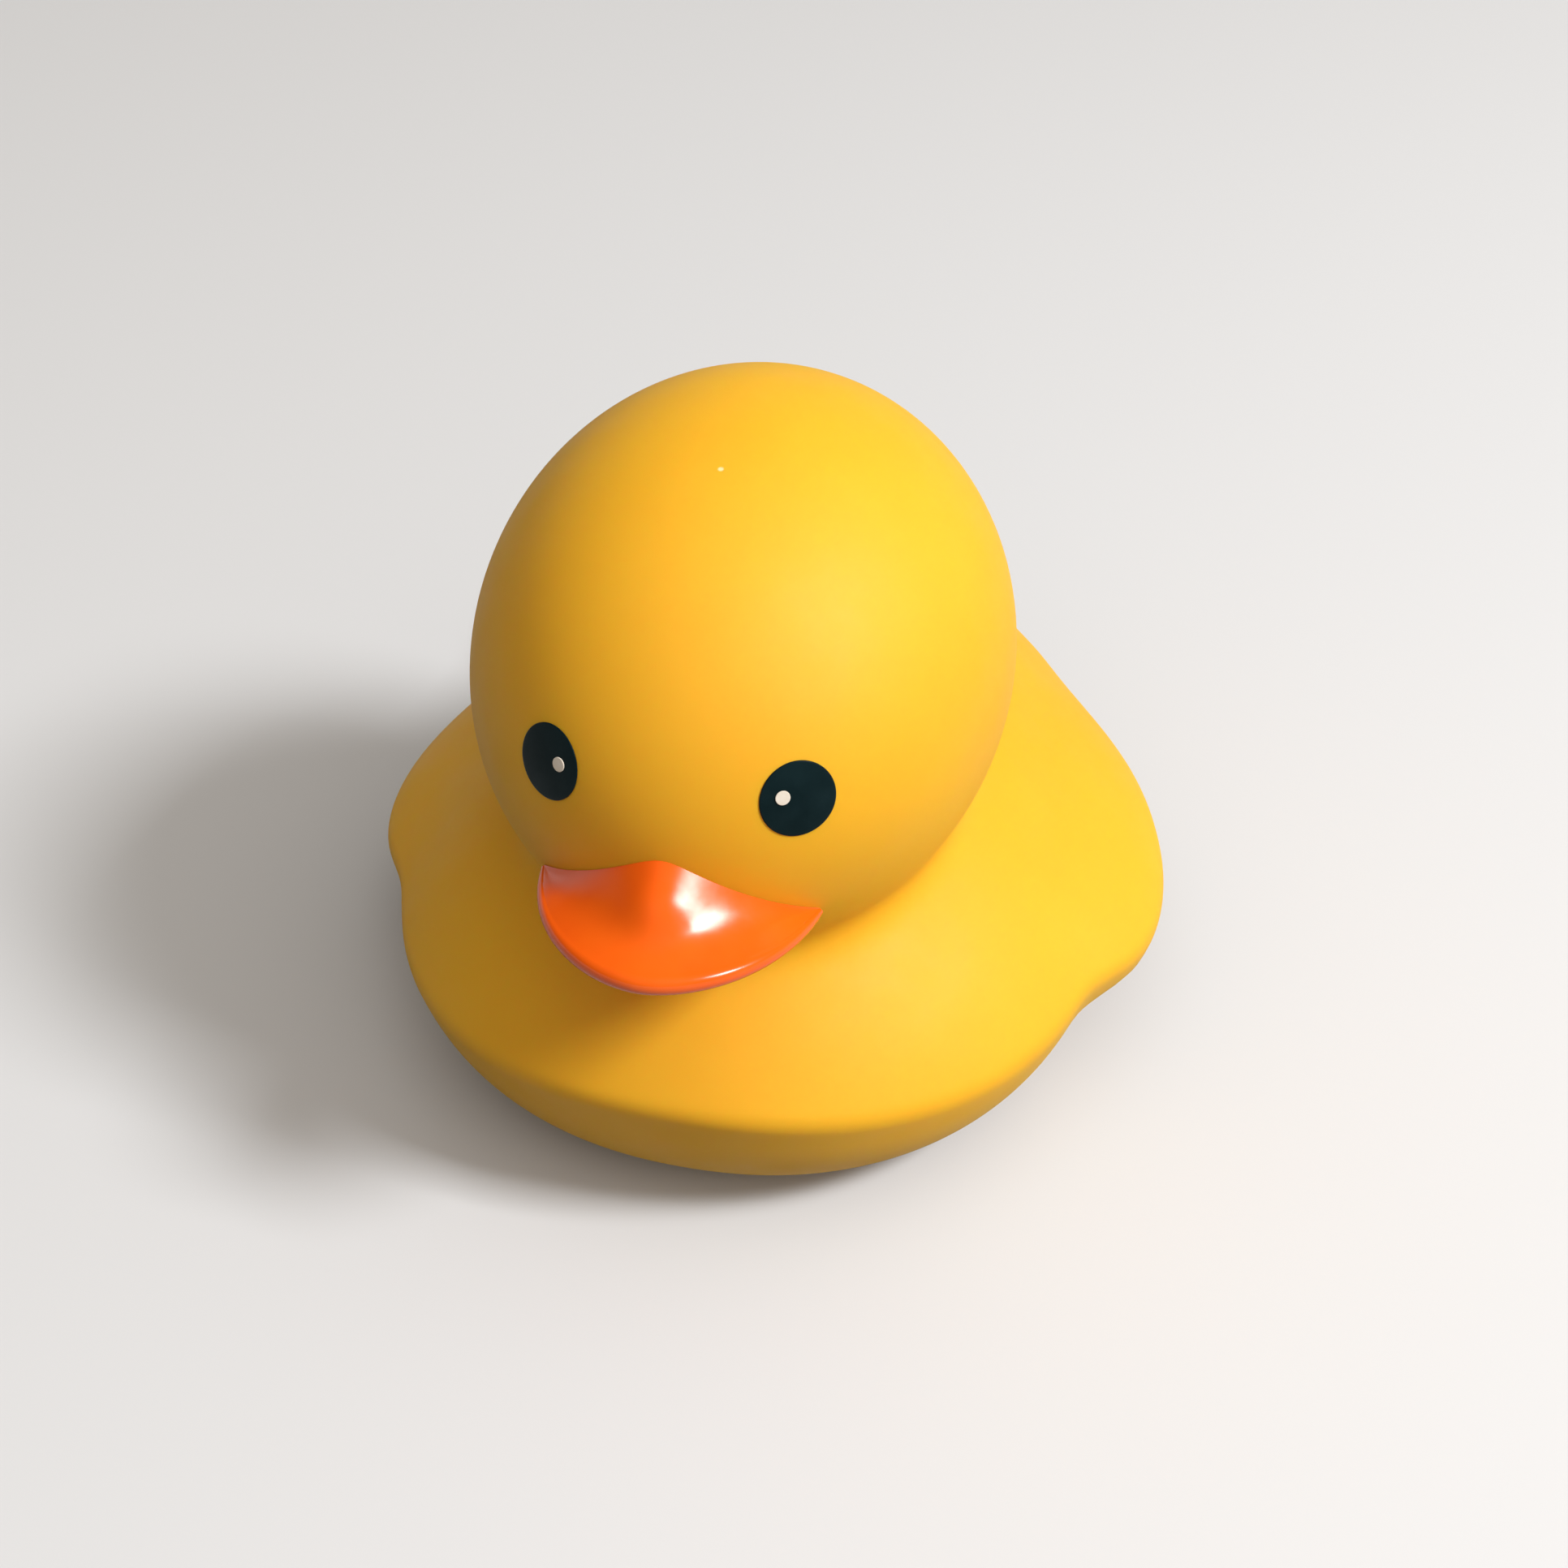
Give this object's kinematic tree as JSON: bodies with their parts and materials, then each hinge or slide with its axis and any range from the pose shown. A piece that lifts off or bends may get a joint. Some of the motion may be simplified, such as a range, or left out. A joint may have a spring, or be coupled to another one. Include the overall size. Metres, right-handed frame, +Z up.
{
  "type": "rubber duck",
  "caption": "Hollow moulded vinyl bath duck with a large round head, painted scoop bill and oval eyes, low swept wings, an upturned tail and a squeaker in its flat base.",
  "frame": {"origin": "middle of the bounding box in plan, on the flat base", "axes": "+Z up, -Y the way the duck faces, +X the duck's left"},
  "size_m": [0.0764, 0.0922, 0.0673],
  "materials": {
    "vinyl": "satin yellow soft vinyl, coloured through",
    "bill_paint": "glossy orange paint",
    "eye_paint": "near black paint",
    "glint_paint": "off-white paint",
    "squeaker_plastic": "natural white polyethylene",
    "reed_plastic": "grey plastic"
  },
  "bodies": {
    "root": {"vinyl_shell": "vinyl", "bill_paint": "bill_paint", "eye_left": "eye_paint", "eye_right": "eye_paint", "eye_glint_left": "glint_paint", "eye_glint_right": "glint_paint", "squeaker_body": "squeaker_plastic", "squeaker_reed": "reed_plastic"}
  },
  "joints": []
}
